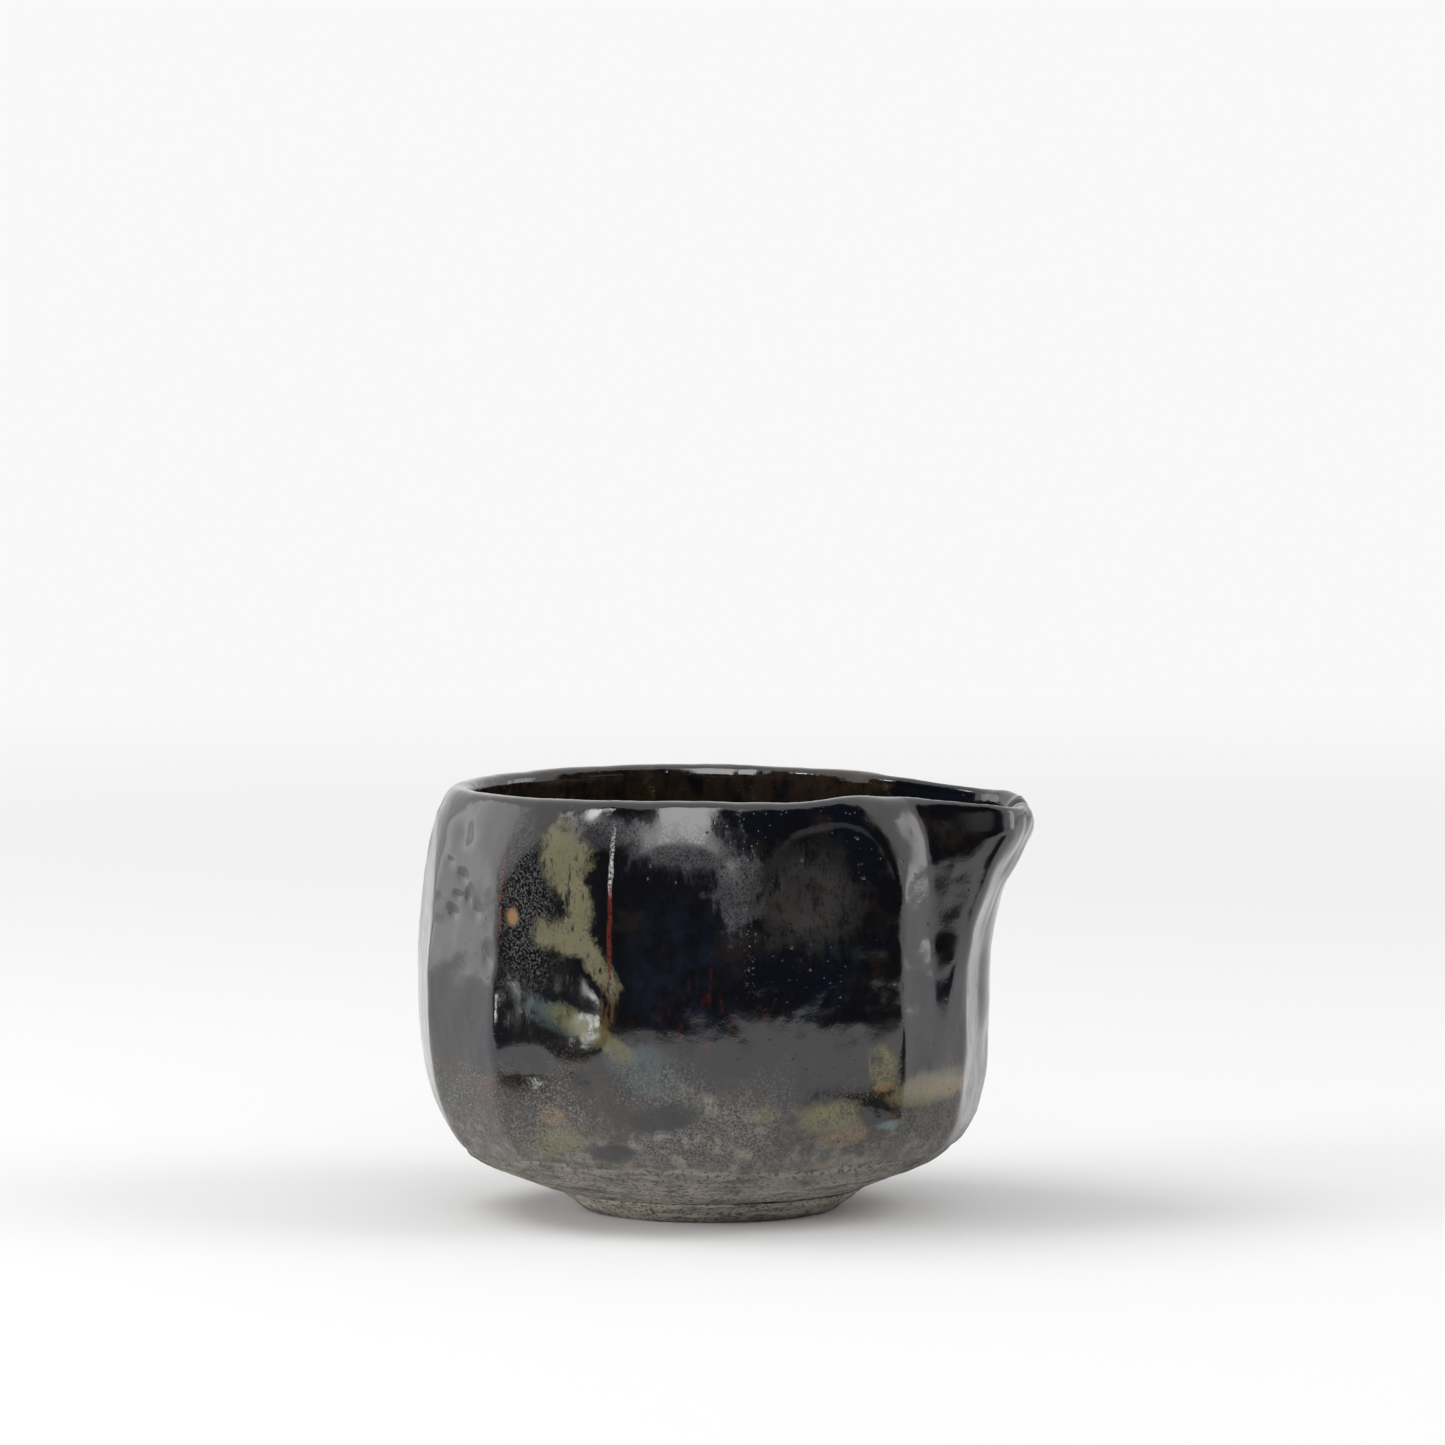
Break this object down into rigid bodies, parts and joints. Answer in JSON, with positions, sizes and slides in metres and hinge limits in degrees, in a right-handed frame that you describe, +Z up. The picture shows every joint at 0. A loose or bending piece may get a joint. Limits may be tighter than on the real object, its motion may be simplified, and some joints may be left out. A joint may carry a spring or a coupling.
{
  "type": "spouted tea bowl",
  "caption": "Round faceted tea bowl with a pulled pouring beak on its rim and a low foot ring.",
  "frame": {"origin": "centre of the foot ring's resting face", "axes": "+Z up out of the bowl, +X towards the pouring beak"},
  "size_m": [0.1139, 0.1049, 0.0797],
  "materials": {
    "fired_clay": "matte",
    "black_glaze": "gloss"
  },
  "bodies": {
    "root": {"clay_body": "fired_clay", "pouring_spout": "fired_clay", "foot_ring": "fired_clay", "outer_glaze": "black_glaze", "inner_glaze": "black_glaze"}
  },
  "joints": []
}
